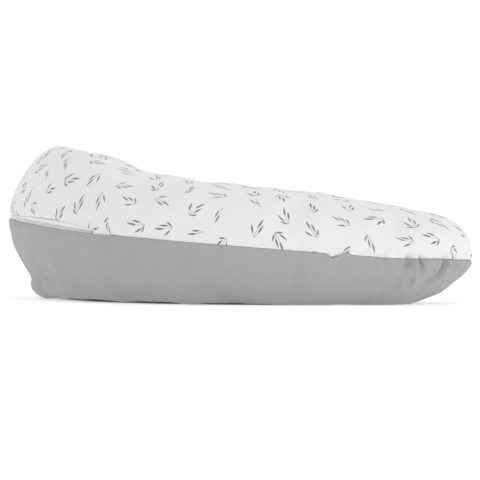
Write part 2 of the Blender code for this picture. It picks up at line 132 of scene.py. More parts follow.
class Outline:
    """The seam's plan as a closed loop of columns: outside the U, around the -X tip, along the waist
    side and around the +X tip."""

    def __init__(self, bend_steps, arm_steps, tip_steps):
        middle, out, weight = mid_line(bend_steps, arm_steps)
        last = len(middle) - 1
        angle = math.pi * np.arange(1, tip_steps) / tip_steps
        parts = []
        for side in (1, -1):
            order = np.arange(last + 1)[::side]
            long_side = (middle + out * (side * ARM_WIDTH / 2))[order]
            parts.append((long_side, order, np.zeros(last + 1), np.full(last + 1, side)))
            end = last if side > 0 else 0
            forward = np.array((-out[end, 1], out[end, 0])) * np.sign(out[end, 0])
            aside = np.outer(np.cos(angle) * side, out[end]) + np.outer(np.sin(angle), forward)
            tip = middle[end] + aside * ARM_WIDTH / 2
            parts.append((tip, np.full(tip_steps - 1, end), np.sin(angle), np.zeros(tip_steps - 1, int)))
        self.plan, self.station, self.tip, self.side = (np.concatenate(part) for part in zip(*parts))
        self.stations = last + 1
        self.first = np.array([np.argmax(self.station == s) for s in range(self.stations)])
        self.middle = middle[self.station]
        self.out = out[self.station]
        self.weight = weight[self.station]
        self.crest = self.middle + self.out * (CREST_SHIFT * self.weight)[:, None]
        self.back = self.plan[:, 1] + DEPTH / 2
        steps = np.linalg.norm(np.roll(self.plan, -1, axis=0) - self.plan, axis=1)
        run = np.concatenate(([0.0], np.cumsum(steps)))  # from the first column all the way around
        self.along = run[arm_steps + bend_steps // 2] - run[:-1]  # from the front, positive towards +X
        self.along[self.along < -run[-1] / 2] += run[-1]
        self.in_line = np.stack((self.along, np.zeros_like(self.along)), axis=1)
        angle = np.arctan2(self.plan[:, 0], BEND_Y - self.plan[:, 1])
        self.zip_angle = np.where(self.side > 0, angle, NO_ANGLE)


def mix(first, second, share):
    return first + (second - first) * share


def top_sections(line, count=100):
    """Dense points from the seam up to the crest, for every column."""
    power = mix(mix(TOP_POWER_ARM, TOP_POWER_BEND, line.weight), TOP_POWER_TIP, line.tip)
    angle = np.linspace(0, math.pi / 2, count)[:, None]
    reach = np.maximum(np.cos(angle), 0) ** (2 / power)  # 1 at the seam, 0 at the crest
    rounded = (reach**2 + CREST_ROUND**2) ** (power / 2) - CREST_ROUND**power
    rounded /= (1 + CREST_ROUND**2) ** (power / 2) - CREST_ROUND**power
    rise = (1 - np.clip(rounded, 0, 1)) ** (1 / power)
    flat = mix(line.plan, line.crest, (1 - reach)[:, :, None])
    high = crown_height(flat[:, :, 1] + DEPTH / 2)
    return np.concatenate((flat, mix(seam_height(line.back), high, rise)[:, :, None]), axis=2)


def base_sections(line, count=80, flat_count=30):
    """Dense points from the seam down the wall and along the bottom to the middle of each column."""
    inset = mix(mix(BASE_INSET_OUTER, BASE_INSET_BEND, line.weight), BASE_INSET_TIP, line.tip)
    power = mix(mix(BASE_POWER_ARM, BASE_POWER_BEND, line.weight), BASE_POWER_TIP, line.tip)
    inset = np.where(line.side < 0, BASE_INSET_WAIST, inset)
    power = np.where(line.side < 0, BASE_POWER_ARM, power)
    half = ARM_WIDTH / 2
    toward = (line.middle - line.plan) / half
    angle = np.linspace(0, math.pi / 2, count)[:, None]
    inward = inset * (1 - np.maximum(np.cos(angle), 0) ** (2 / power))
    height = seam_height(line.back) * (1 - np.sin(angle) ** (2 / power))
    under = mix(inset, half, np.linspace(0, 1, flat_count)[1:, None])
    inward = np.concatenate((inward, under))
    height = np.concatenate((height, np.zeros_like(under)))
    flat = line.plan + toward * inward[:, :, None]
    return np.concatenate((flat, height[:, :, None]), axis=2)


def spaced_rows(dense, edge, rows):
    """rows + 1 points of each dense column, from a distance past the seam to the column's end, and
    each point's distance from the seam along the surface."""
    steps = np.linalg.norm(np.diff(dense, axis=0), axis=2)
    length = np.concatenate((np.zeros((1, dense.shape[1])), np.cumsum(steps, axis=0)))
    share = (np.arange(rows + 1) / rows) ** ROW_CROWDING
    wanted = edge + (length[-1] - edge) * share[:, None]
    points = [
        [np.interp(wanted[:, i], length[:, i], dense[:, i, k]) for i in range(dense.shape[1])]
        for k in range(3)
    ]
    return np.array(points).T, wanted


def grid_normals(points, line):
    """Unit normals that point out. Columns of one station share the normal of their middle line."""
    around = np.roll(points, -1, axis=1) - np.roll(points, 1, axis=1)
    normals = np.cross(around, np.gradient(points, axis=0))
    away = points[0, :, :2] - line.middle
    if (normals[1, :, :2] * away).sum() < 0:
        normals = -normals
    shared = np.zeros((line.stations, 3))
    np.add.at(shared, line.station, normals[-1])
    normals[-1] = shared[line.station]
    return normals / np.linalg.norm(normals, axis=2, keepdims=True)


def smooth_step(value):
    value = np.clip(value, 0, 1)
    return value * value * (3 - 2 * value)


def ripples(points, wavelength, seed, count=20):
    """A smooth random field of about unit size, the sum of seeded waves in random directions."""
    rng = np.random.default_rng(seed)
    directions = rng.normal(size=(count, points.shape[-1]))
    directions /= np.linalg.norm(directions, axis=1, keepdims=True)
    numbers = 2 * math.pi / (wavelength * rng.uniform(0.7, 1.6, count))
    phases = rng.uniform(0, 2 * math.pi, count)
    waves = np.sin(points @ (directions * numbers[:, None]).T + phases)
    return waves.sum(axis=-1) / math.sqrt(count / 2)


# ---------------- cloth simulation

SIM_FRAMES = 20
SIM_CAP = 0.0018
PINNED_BELOW = 0.001
SIM_SETTINGS = {
    "quality": 5,
    "mass": 0.3,
    "tension_stiffness": 15,
    "compression_stiffness": 15,
    "bending_stiffness": 0.3,
    "use_pressure": True,
    "uniform_pressure_force": 4.0,
    "shrink_min": -0.03,  # negative shrinking: the panels are cut a little large, so that they crease
    "vertex_group_mass": "pins",
}


def numbered(grid, line, points):
    """Adds a grid's points to a list, those at the columns' ends once for each station, and returns
    the grid's point numbers."""
    total, body = sum(map(len, points)), (len(grid) - 1) * len(line.station)
    points += [grid[:-1].reshape(-1, 3), grid[-1, line.first]]
    ids = total + np.arange(body).reshape(len(grid) - 1, -1)
    return np.concatenate((ids, (total + body + line.station)[None]))


def join_grids(top, base, line):
    """One closed mesh of the top and base grids: its points, faces, and each grid's point numbers."""
    seam = np.arange(len(line.station))[None]
    points = [top[0]]
    numbers = [np.concatenate((seam, numbered(grid[1:], line, points))) for grid in (top, base)]
    faces = grid_faces(numbers[0]) + grid_faces(numbers[1][::-1])
    return np.concatenate(points), faces, numbers


def grid_faces(ids):
    """Quads between neighbouring rows of point numbers, closed around each row, and triangles where
    two corners are one point."""
    upper, lower = ids[..., :-1, :], ids[..., 1:, :]
    quads = np.stack((upper, np.roll(upper, -1, axis=-1), np.roll(lower, -1, axis=-1), lower), axis=-1)
    faces = []
    for quad in quads.reshape(-1, 4).tolist():
        kept = [p for i, p in enumerate(quad) if p != quad[i - 1]]
        if len(kept) > 2:
            faces.append(kept)
    return faces


def mesh_object(name, points, faces, outward=True):
    mesh = bpy.data.meshes.new(name)
    mesh.from_pydata(np.asarray(points).tolist(), [], faces)
    if outward:
        shape = bmesh.new()
        shape.from_mesh(mesh)
        bmesh.ops.recalc_face_normals(shape, faces=shape.faces)
        if shape.calc_volume(signed=True) < 0:
            bmesh.ops.reverse_faces(shape, faces=shape.faces)
        shape.to_mesh(mesh)
        shape.free()
    mesh.shade_smooth()
    made = bpy.data.objects.new(name, mesh)
    bpy.context.scene.collection.objects.link(made)
    return made


def simulate(top, base, line):
    """Inflates the closed cover as cloth, sewn fast along the seam and resting on its bottom, and
    returns how far every point of the two grids moved."""
    points, faces, numbers = join_grids(top, base, line)
    cover = mesh_object("cloth_simulation", points, faces)
    pins = cover.vertex_groups.new(name="pins")
    pins.add(np.nonzero(points[:, 2] < PINNED_BELOW)[0].tolist(), 1.0, "REPLACE")
    pins.add(numbers[0][0].tolist(), 1.0, "REPLACE")
    cloth = cover.modifiers.new("cloth", "CLOTH")
    for name, value in SIM_SETTINGS.items():
        setattr(cloth.settings, name, value)
    cloth.settings.effector_weights.gravity = 0
    cloth.point_cache.frame_end = SIM_FRAMES
    for number in range(1, SIM_FRAMES + 1):
        bpy.context.scene.frame_set(number)
    settled = cover.evaluated_get(bpy.context.evaluated_depsgraph_get()).to_mesh()
    moved = np.empty(len(points) * 3)
    settled.vertices.foreach_get("co", moved)
    moved = moved.reshape(-1, 3) - points
    bpy.data.objects.remove(cover, do_unlink=True)
    bpy.context.scene.frame_set(1)
    far = np.linalg.norm(moved, axis=1, keepdims=True)
    moved *= SIM_CAP * np.tanh(far / SIM_CAP) / np.maximum(far, 1e-9)
    return [moved[ids] for ids in numbers]


def rows_between(field, count):
    """count rows of a field, COARSE to each of its own, the last one followed by the first."""
    at = np.arange(count) / COARSE
    low = at.astype(int)
    part = (at - low)[:, None, None]
    return field[low] * (1 - part) + field[(low + 1) % len(field)] * part


def refine(field):
    """A coarse grid's field on the fine grid, smoothed so that the coarse steps don't show."""
    tall = rows_between(field, (len(field) - 1) * COARSE + 1)
    wide = rows_between(tall.swapaxes(0, 1), field.shape[1] * COARSE).swapaxes(0, 1).copy()
    for _ in range(3):
        wide = (np.roll(wide, 1, axis=1) + 2 * wide + np.roll(wide, -1, axis=1)) / 4
        wide[1:-1] = (wide[:-2] + 2 * wide[1:-1] + wide[2:]) / 4
    return wide


# ---------------- folds and seams

# Folds of the grey panel below the +X tip's seam, in millimetres: points (along the outline from the
# front of the bend, down from the seam), half-width and height. A negative height is a valley.
TIP_FOLDS = (
    (((525.7, 0), (526.2, 14), (531, 28)), 2, 1.8),
    (((522.5, 0), (523.5, 16)), 2.6, -1.4),
    (((540.5, 0), (541, 12), (544, 26)), 3.2, 1.8),
    (((554.5, 0), (553.5, 10)), 2.8, -3.8),
    (((553, 8), (547, 20), (544, 32)), 3, -2.6),
    (((561.8, 0), (562.8, 12), (565.2, 26)), 2.2, 3.4),
    (((566.4, 0), (568, 8), (570, 18)), 1.8, -3.8),
    (((561, 22), (556, 36)), 2.8, -2.2),
    (((577, 0), (576.2, 14)), 3.2, 2.2),
    (((596.5, 2), (593.5, 18), (584.5, 29), (574, 40)), 2.6, -4.2),
    (((602.2, 0), (600.4, 12), (595, 26)), 3, 2.6),
    (((614, 0), (612, 14)), 2.6, -2.2),
    (((626.8, 0), (624, 14), (619, 26)), 3.4, 1.3),
)
# The same for the long sides: the creases left of the pucker and across the bend
SIDE_FOLDS = (
    (((474, 1), (469, 7), (463, 13)), 3.4, -1.1),
    (((480, 4), (479, 14)), 6, -0.8),
    (((340, 5), (347, 14), (357, 27)), 3, 0.5),
    (((396, 4), (404, 12), (412, 18)), 3.4, 0.5),
    (((45, 40), (53, 62)), 4, -0.9),
    (((85, 52), (90, 75)), 5, -1),
    (((-30, 46), (-38, 70)), 4.5, -0.9),
    (((210, 30), (230, 60)), 6, -0.6),
    (((-230, 10), (-246, 30)), 4, 0.6),
    (((-370, 4), (-379, 20)), 3.6, 0.6),
    (((-445, 0), (-450, 14)), 3, -0.8),
)
TIP_START, TIP_END, TIP_BLEND = 0.515, 0.880, 0.02  # where the tips are gathered, either way along
GATHER_GAP, GATHER_SEEDS = (0.0085, 0.0140), (31, 32)
NOT_RANDOM = (0.50, 0.632)  # the stretch whose folds TIP_FOLDS gives
FOLD_REACH, FOLD_SPREAD = 5, 0.6  # in half-widths, and how much wider a fold is at its end
LIP_DEPTH, LIP_PLACE = 0.35, 1.9  # of a valley's lips, as shares of its depth and half-width
SHARED_FOLD = 0.0045  # how far above the seam the printed panel follows the grey panel's folds

# The pucker on the +X arm, in millimetres: where the seam's line leaves its height, and by how much
PUCKER = ((474.0, 0), (476.5, -0.8), (481.3, -4.0), (493.5, 2.2), (497.2, 2.4), (499.2, 0))
PUCKER_REACH = 0.007
PUCKER_CREASE = (((481.3, 0), (492.6, 2.2), (500, 6.2)), 1.1, -2.4)


def fold_field(line_along, down, folds):
    """The height that a list of folds adds. A valley has low lips at its sides."""
    field = np.zeros_like(down)
    along = np.broadcast_to(line_along, down.shape)
    for route, width, height in folds:
        route, width, height = np.array(route) / 1000, width / 1000, height / 1000
        near = np.abs(line_along - route[:, 0].mean()) < np.ptp(route[:, 0]) / 2 + FOLD_REACH * width
        if not near.any():
            continue
        here = np.stack((along[:, near], down[:, near]), axis=-1)
        best, share = np.full(here.shape[:2], np.inf), np.zeros(here.shape[:2])
        for i, (a, b) in enumerate(zip(route, route[1:])):
            t = np.clip(((here - a) @ (b - a)) / ((b - a) @ (b - a)), 0, 1)
            away = np.linalg.norm(here - (a + t[..., None] * (b - a)), axis=-1)
            closer = away < best
            best = np.where(closer, away, best)
            share = np.where(closer, (i + t) / (len(route) - 1), share)
        spread = width * (1 + FOLD_SPREAD * share)
        rise = np.exp(-((best / spread) ** 2))
        if height < 0:
            rise = rise - LIP_DEPTH * np.exp(-((best / spread - LIP_PLACE) ** 2))
        field[:, near] += height * rise * (1 - share**2)
    return field


def gathers(seed, sign, skipped=(0.0, 0.0)):
    """Random folds around one tip's seam, but not in the skipped stretch."""
    rng = np.random.default_rng(seed)
    folds = []
    place = TIP_START
    while place < TIP_END:
        if not skipped[0] < place < skipped[1]:
            lean, length = rng.normal(0, 2.2), rng.uniform(12, 34)
            width = rng.uniform(2.2, 3.6)
            height = rng.uniform(1.2, 2.8) * rng.choice((1, -1), p=(0.55, 0.45))
            route = [(sign * (1000 * place + lean * t * t), length * t) for t in (0, 0.5, 1)]
            folds.append((route, width, height))
        place += rng.uniform(*GATHER_GAP)
    return folds


def base_folds():
    random = gathers(GATHER_SEEDS[0], 1, NOT_RANDOM) + gathers(GATHER_SEEDS[1], -1)
    return [*TIP_FOLDS, *SIDE_FOLDS, *random]


# Each panel's surface: its unevenness as (height, wavelength, seed), the height and reach of the waves
# along its seam, the depth and half-width of the dip at its edge, the depth of the dip along the
# topstitches, and how far the folded edge beside the zip stands out
TOP_SURFACE = {
    "uneven": ((0.0009, 0.085, 11), (0.00035, 0.034, 12)), "waves": (0.00028, 0.009),
    "edge_dip": (0.0008, 0.0022), "stitch_dip": 0.00030, "edge_out": -0.0004,
}
BASE_SURFACE = {
    "uneven": ((0.0009, 0.070, 21), (0.00045, 0.030, 22)), "waves": (0.00034, 0.011),
    "edge_dip": (0.0006, 0.0020), "stitch_dip": 0.00025, "edge_out": 0.0003,
}
UNEVEN_FADE, WAVE_LENGTH, WAVE_SEED, WAVE_GAIN = 0.03, 0.011, 13, 1.2
ZIPPED_EDGE, STITCH_HALF, EDGE_REACH = 0.0015, 0.0009, 0.006


def seam_waves(line, down, size, reach):
    """The small waves that the stitches pull along a seam, stronger around the tips."""
    waves = ripples(line.in_line, WAVE_LENGTH, WAVE_SEED, count=14)
    at_tips = smooth_step((np.abs(line.along) - TIP_START + TIP_BLEND) / (2 * TIP_BLEND))
    tight = 1 + WAVE_GAIN * at_tips
    return size * tight * waves * np.exp(-down / reach)


def surface_heights(line, points, down, edge, surface):
    """Heights along a panel's normals, apart from its folds."""
    field = sum(size * ripples(points, wave, seed) for size, wave, seed in surface["uneven"])
    field = field * smooth_step(down / UNEVEN_FADE) + seam_waves(line, down, *surface["waves"])
    past = down - edge
    depth, half = surface["edge_dip"]
    field -= depth * np.exp(-((past / half) ** 2))
    zipped = smooth_step(edge / ZIPPED_EDGE)
    field -= zipped * surface["stitch_dip"] * np.exp(-(((past - TOPSTITCH) / STITCH_HALF) ** 2))
    return field + surface["edge_out"] * zipped * np.exp(-past / EDGE_REACH)


def top_folds(line, down):
    """The pucker's crease, and the grey panel's folds where they reach over the seam."""
    at_seam = fold_field(line.along, np.zeros((1, len(line.along))), base_folds())
    crease = fold_field(line.along, down, [PUCKER_CREASE])
    return crease + at_seam * np.exp(-((down / SHARED_FOLD) ** 2))


def pucker_shift(line, down):
    """How far the pucker moves points up or down."""
    places, heights = np.array(PUCKER).T / 1000
    shift = np.interp(line.along, places, heights)
    return shift * np.exp(-((down / PUCKER_REACH) ** 2))


# The bend's bottom corner bulges out, and a ring fold runs over the bulge
BULGE, BULGE_MIDDLE, BULGE_HEIGHT, BULGE_FADE = 0.0078, 0.007, 0.011, 0.02
RING_FOLD, RING_HEIGHT, RING_HALF = 0.0020, 0.0180, 0.0028
# The base's outer half arches clear of the floor, but not at the tips: how high, how far back, from
# which share of the half-width outwards, below which height, and how much the height varies
LIFT, LIFT_END, LIFT_END_FADE = 0.0025, 0.32, 0.10
LIFT_FROM, LIFT_SPREAD, LIFT_TOP, LIFT_TOP_FADE = -0.6, 1.4, 0.045, 0.03
LIFT_WAVE, LIFT_WAVE_LENGTH, LIFT_WAVE_SEED, LIFT_LESS_AT_BEND = 0.4, 0.045, 41, 0.3


def base_bottom(line, points):
    """Moves the grey panel near the floor: the bulge at the bend, the ring fold over it, and the arch
    of the outer edge."""
    moved = points.copy()
    height = points[:, :, 2]
    low = np.exp(-(((height - BULGE_MIDDLE) / BULGE_HEIGHT) ** 2))
    inward = np.linalg.norm(points[:, :, :2] - line.plan, axis=2)
    at_edge = np.exp(-((np.maximum(inward - BASE_INSET_BEND, 0) / BULGE_FADE) ** 2))
    ring = np.exp(-(((height - RING_HEIGHT) / RING_HALF) ** 2))
    bulge = line.weight**2 * (line.side > 0) * (BULGE * low * at_edge - RING_FOLD * ring)
    away = (line.plan - line.middle) / (ARM_WIDTH / 2)
    moved[:, :, :2] += away[None] * bulge[:, :, None]
    return moved + floor_lift(line, points)


def floor_lift(line, points):
    """The arch of the base's outer half, clear of the floor, with puckers along its edge."""
    inward = np.linalg.norm(points[:, :, :2] - line.plan, axis=2) / (ARM_WIDTH / 2)
    outward = np.where(line.side < 0, inward - 1, 1 - inward)
    share = smooth_step((outward - LIFT_FROM) / LIFT_SPREAD)
    share *= smooth_step((LIFT_TOP - points[:, :, 2]) / LIFT_TOP_FADE)
    wave = ripples(line.in_line, LIFT_WAVE_LENGTH, LIFT_WAVE_SEED, count=10)
    share *= 1 + LIFT_WAVE * np.clip(wave, -2, 2) * smooth_step(outward)
    share *= 1 - LIFT_LESS_AT_BEND * line.weight**2
    share *= smooth_step((LIFT_END - line.back) / LIFT_END_FADE)
    lift = np.zeros_like(points)
    lift[:, :, 2] = LIFT * share
    return lift


# ---------------- panels as meshes

def panel_shell(name, line, outer, normals, thickness, planar):
    """A closed shell from an outer grid: its outer skin, a coarser inner skin and the rim between
    them. planar gives each point's place on the flat cloth, for the UV map."""
    inner_rows = np.arange(0, len(outer), COARSE)
    inner = (outer - normals * thickness)[inner_rows]
    points = []
    numbers = [numbered(grid, line, points) for grid in (outer, inner)]
    faces = grid_faces(numbers[0][::-1]) + grid_faces(numbers[1])
    faces += grid_faces(np.stack((numbers[0][0], numbers[1][0])))
    made = mesh_object(name, np.concatenate(points), faces)
    flat = np.zeros((sum(map(len, points)), 2))
    flat[numbers[0]] = planar
    flat[numbers[1]] = planar[inner_rows]
    add_flat_map(made, flat)
    return made


def add_flat_map(piece, flat):
    """A UV map in metres on the flat cloth, one place per point."""
    mesh = piece.data
    corners = np.empty(len(mesh.loops), int)
    mesh.loops.foreach_get("vertex_index", corners)
    layer = mesh.uv_layers.new(name="cloth")
    layer.data.foreach_set("uv", flat[corners].astype(np.float32).ravel())


def flattened(line, points, middle):
    """Each point's place on the flat cloth: from the middle line, out by its distance along the
    surface."""
    steps = np.linalg.norm(np.diff(points, axis=0), axis=2)
    length = np.concatenate((np.cumsum(steps[::-1], axis=0)[::-1], np.zeros((1, points.shape[1]))))
    away = line.plan - middle
    away /= np.linalg.norm(away, axis=1, keepdims=True)
    return middle + away * length[:, :, None]


def coarse_grids():
    """The coarse outline, and the top and base grids on it, from the seam to the middle."""
    line = Outline(BEND_STEPS // COARSE, ARM_STEPS // COARSE, TIP_STEPS // COARSE)
    top = spaced_rows(top_sections(line), 0.0, TOP_ROWS // COARSE)[0]
    base = spaced_rows(base_sections(line), 0.0, BASE_ROWS // COARSE)[0]
    return line, top, base


def make_cover():
    """Both panels, and what their topstitches follow: the outline and, for each panel, its points,
    how far past its edge each one lies, and the normals."""
    line = Outline(BEND_STEPS, ARM_STEPS, TIP_STEPS)
    angle = np.abs(line.zip_angle)
    edges = [np.interp(angle, OPEN_ANGLES, opening) for opening in (OPEN_ABOVE, OPEN_BELOW)]
    top, top_down = spaced_rows(top_sections(line), edges[0], TOP_ROWS)
    base, base_down = spaced_rows(base_sections(line), edges[1], BASE_ROWS)
    maps = [flattened(line, top, line.crest), flattened(line, base, line.middle)]
    normals = [grid_normals(top, line), grid_normals(base, line)]
    rough, *coarse = coarse_grids()
    moves = simulate(*coarse, rough)
    top = top + refine(moves[0])
    base = base + refine(moves[1])
    raised = surface_heights(line, top, top_down, edges[0], TOP_SURFACE) + top_folds(line, top_down)
    top = top + normals[0] * raised[:, :, None]
    raised = surface_heights(line, base, base_down, edges[1], BASE_SURFACE)
    raised += fold_field(line.along, base_down, base_folds())
    base = base_bottom(line, base + normals[1] * raised[:, :, None])
    top[:, :, 2] += pucker_shift(line, top_down)
    base[:, :, 2] = np.maximum(base[:, :, 2] + pucker_shift(line, base_down), 0.0)
    printed = panel_shell("printed_panel", line, top, normals[0], CLOTH_THICKNESS, maps[0])
    grey = panel_shell("grey_panel", line, base, normals[1], CLOTH_THICKNESS, maps[1])
    grids = (top, top_down - edges[0], normals[0]), (base, base_down - edges[1], normals[1])
    return printed, grey, line, grids


# ---------------- materials

def set_inputs(tree, node, *values, **named):
    """Links or sets a node's inputs, in their order, or by their names with _ for a space."""
    inputs = [(node.inputs[i], value) for i, value in enumerate(values)]
    inputs += [(node.inputs[name.replace("_", " ")], value) for name, value in named.items()]
    for socket, value in inputs:
        if isinstance(value, bpy.types.NodeSocket):
            tree.links.new(value, socket)
        else:
            socket.default_value = value


def add_node(tree, kind, settings, *values, **named):
    node = tree.nodes.new("ShaderNode" + kind)
    for name, value in settings.items():
        setattr(node, name, value)
    set_inputs(tree, node, *values, **named)
    return node


def maths(tree, operation, *values, clamp=False):
    settings = {"operation": operation, "use_clamp": clamp}
    return add_node(tree, "Math", settings, *values).outputs[0]


def vector_maths(tree, operation, *values, output=0, **named):
    return add_node(tree, "VectorMath", {"operation": operation}, *values, **named).outputs[output]


def axes(tree, vector):
    return add_node(tree, "SeparateXYZ", {}, vector).outputs


def turned(tree, vector, angle):
    settings = {"rotation_type": "Z_AXIS"}
    return add_node(tree, "VectorRotate", settings, Vector=vector, Angle=angle).outputs[0]


def noise(tree, place, scale, detail, distortion=0.0):
    named = {"Vector": place, "Scale": scale, "Detail": detail, "Distortion": distortion}
    return add_node(tree, "TexNoise", {}, **named).outputs["Fac"]


def bumps(tree, height, strength, distance):
    return add_node(tree, "Bump", {}, Strength=strength, Distance=distance, Height=height).outputs[0]


def shade_colour(tree, shade):
    return add_node(tree, "CombineColor", {}, shade, shade, shade).outputs[0]


def object_place(tree):
    return add_node(tree, "TexCoord", {}).outputs["Object"]


def cloth_place(tree):
    return add_node(tree, "UVMap", {"uv_map": "cloth"}).outputs[0]


def new_material(name, roughness, metallic=0.0, sheen=0.0, specular=0.35):
    made = bpy.data.materials.new(name)
    made.use_nodes = True
    tree = made.node_tree
    shader = tree.nodes["Principled BSDF"]
    set_inputs(tree, shader, Roughness=roughness, Metallic=metallic, Sheen_Weight=sheen,
               Sheen_Roughness=0.5, Specular_IOR_Level=specular)
    return made, tree, shader


def weave(tree, place, thread):
    """A plain weave's height over a place in metres, 0 to 1, for threads of this width."""
    scaled = vector_maths(tree, "SCALE", place, Scale=math.pi / thread)
    warp, weft = [maths(tree, "SINE", part) for part in list(axes(tree, scaled))[:2]]
    return maths(tree, "MULTIPLY_ADD", maths(tree, "MULTIPLY", warp, weft), 0.5, 0.5)


MOTTLE_SCALE, SLUB_SCALES = 38.0, (260.0, 2600.0, 1.0)
WEAVE_DEPTH = 0.00006


def cloth_finish(tree, shader, tone, place, thread, bump, mottle):
    """Weave, slubs and a soft mottle on a cloth's tone, roughness and surface."""
    calc = partial(maths, tree)
    threads = weave(tree, place, thread)
    wide = noise(tree, place, MOTTLE_SCALE, 3.0)
    slubs = noise(tree, vector_maths(tree, "MULTIPLY", place, SLUB_SCALES), 1.0, 2.0)
    shade = calc("MULTIPLY_ADD", wide, mottle, 1.0 - mottle / 2)
    shade = calc("MULTIPLY_ADD", calc("SUBTRACT", slubs, 0.5), mottle, shade)
    shade = calc("MULTIPLY_ADD", calc("SUBTRACT", threads, 0.5), mottle * 0.8, shade)
    height = calc("MULTIPLY_ADD", slubs, 0.6, threads)
    set_inputs(tree, shader, Base_Color=shade_colour(tree, calc("MULTIPLY", tone, shade)),
               Roughness=calc("MULTIPLY_ADD", wide, 0.12, 0.80),
               Normal=bumps(tree, height, bump, WEAVE_DEPTH))


LEAF_CELL = 0.0300
# Each leaf of a sprig: direction in degrees, start and length in millimetres, half-width, bend, and
# the share of sprigs that have it
SPRIG_LEAVES = (
    (88, 9.0, 10.4, 1.02, 0.010, 1.01),
    (58, 5.0, 9.4, 0.98, -0.012, 1.01),
    (124, 4.0, 8.9, 0.98, 0.014, 0.78),
    (30, 1.5, 7.2, 0.90, -0.014, 0.52),
    (150, 1.0, 6.7, 0.90, 0.016, 0.40),
)
SPRIG_ORIGIN = (0.0, -8.0, 0.0)
STEM_HALF, STEM_END, STEM_SHARE = 0.22, 0.55, 0.75
LEAF_EDGE = 0.30
SPRIG_SHIFT, SPRIG_SMALLEST, SPRIG_SPREAD = 0.24, 850.0, 200.0  # of a cell, and millimetres per metre
OTHER_CHANCE = (31.7, 12.3, 5.1)  # a shift that gives each cell a second set of random numbers


def leaf(tree, place, direction, start, length, half, bend):
    """1 inside a leaf or on its stem, for a place in the sprig's millimetres, and 0 elsewhere."""
    calc = partial(maths, tree)
    reach, across, _ = axes(tree, turned(tree, place, -math.radians(direction)))
    aside = calc("ABSOLUTE", calc("MULTIPLY_ADD", calc("MULTIPLY", reach, reach), bend, across))
    share = calc("DIVIDE", calc("SUBTRACT", reach, start), length)
    share = calc("MINIMUM", share, 1.25)
    # A lens that is widest before its middle and pointed at its tip
    lens = calc("MULTIPLY", share, calc("SUBTRACT", 1.0, share))
    lens = calc("MULTIPLY", lens, calc("MULTIPLY_ADD", share, -1.6, 4.8))
    inside = calc("SUBTRACT", calc("MULTIPLY", lens, half), aside)
    inside = calc("MULTIPLY_ADD", inside, 1 / LEAF_EDGE, 0.5, clamp=True)
    stem = calc("SUBTRACT", STEM_HALF, aside)
    stem = calc("MULTIPLY_ADD", stem, 1 / LEAF_EDGE, 0.5, clamp=True)
    stem = calc("MULTIPLY", stem, calc("GREATER_THAN", reach, 0.0))
    stem = calc("MULTIPLY", stem, calc("LESS_THAN", share, STEM_END))
    return calc("MAXIMUM", inside, calc("MULTIPLY", stem, STEM_SHARE))


def sprig_cells(tree, place):
    """For a place in metres, two sets of random numbers for its cell of a staggered grid, and the
    place in the sprig's own millimetres, each sprig turned, shifted and sized at random."""
    calc, vector = partial(maths, tree), partial(vector_maths, tree)
    across, up, _ = axes(tree, vector("SCALE", place, Scale=1 / LEAF_CELL))
    stagger = calc("MULTIPLY", calc("FLOORED_MODULO", calc("FLOOR", up), 2.0), 0.5)
    shifted = add_node(tree, "CombineXYZ", {}, calc("ADD", across, stagger), up).outputs[0]
    cell = vector("FLOOR", shifted)
    chance, other = (
        add_node(tree, "TexWhiteNoise", {"noise_dimensions": "3D"}, Vector=at).outputs
        for at in (cell, vector("ADD", cell, OTHER_CHANCE))
    )
    local = vector("SUBTRACT", vector("FRACTION", shifted), (0.5, 0.5, 0.0))
    jitter = vector("SUBTRACT", chance["Color"], (0.5, 0.5, 0.5))
    local = vector("SUBTRACT", local, vector("MULTIPLY", jitter, (SPRIG_SHIFT, SPRIG_SHIFT, 0.0)))
    local = turned(tree, local, calc("MULTIPLY", chance["Value"], 2 * math.pi))
    size = calc("MULTIPLY_ADD", other["Value"], SPRIG_SPREAD, SPRIG_SMALLEST)
    local = vector("SCALE", local, Scale=calc("MULTIPLY", size, LEAF_CELL))
    return other["Color"], vector("SUBTRACT", local, SPRIG_ORIGIN)


def sprigs(tree, place):
    """The print's mask over a place in metres, and a random number for each sprig."""
    colour, at = sprig_cells(tree, place)
    pick = add_node(tree, "SeparateColor", {}, colour).outputs
    mask = 0.0
    for i, (*shape, share) in enumerate(SPRIG_LEAVES):
        present = maths(tree, "LESS_THAN", pick[i % 2], share)
        mask = maths(tree, "MAXIMUM", mask, maths(tree, "MULTIPLY", leaf(tree, at, *shape), present))
    return mask, pick[2]


PRINT_GROUND, PRINT_INK = 0.715, 0.12
# The plain cloths: tone, thread's width, strength of the weave's bump, mottle and sheen
COTTON_THREAD = 0.00042
PLAIN_CLOTHS = {
    "grey_cotton_cloth": (0.342, COTTON_THREAD, 0.30, 0.06, 0.12),
    "tape_weave": (0.84, 0.0006, 0.50, 0.05, 0.10),
    "white_thread": (0.80, 0.0002, 0.40, 0.05, 0.12),
    "grey_thread": (0.37, 0.0002, 0.40, 0.05, 0.12),
    "lining_cotton": (0.82, 0.0005, 0.35, 0.05, 0.12),
    "satin_label": (0.86, 0.0003, 0.20, 0.03, 0.30),
}


def printed_cotton():
    made, tree, shader = new_material("printed_cotton_cloth", 0.85, sheen=0.12)
    place = cloth_place(tree)
    mask, chance = sprigs(tree, place)
    flecks = maths(tree, "MULTIPLY_ADD", noise(tree, place, 900.0, 1.0), 0.25, 0.88)
    ink = maths(tree, "MULTIPLY", maths(tree, "MULTIPLY_ADD", chance, 0.16, 0.74), flecks)
    inked = maths(tree, "MULTIPLY", mask, ink, clamp=True)
    tone = maths(tree, "MULTIPLY_ADD", inked, PRINT_INK - PRINT_GROUND, PRINT_GROUND)
    cloth_finish(tree, shader, tone, place, COTTON_THREAD, 0.25, 0.035)
    return made


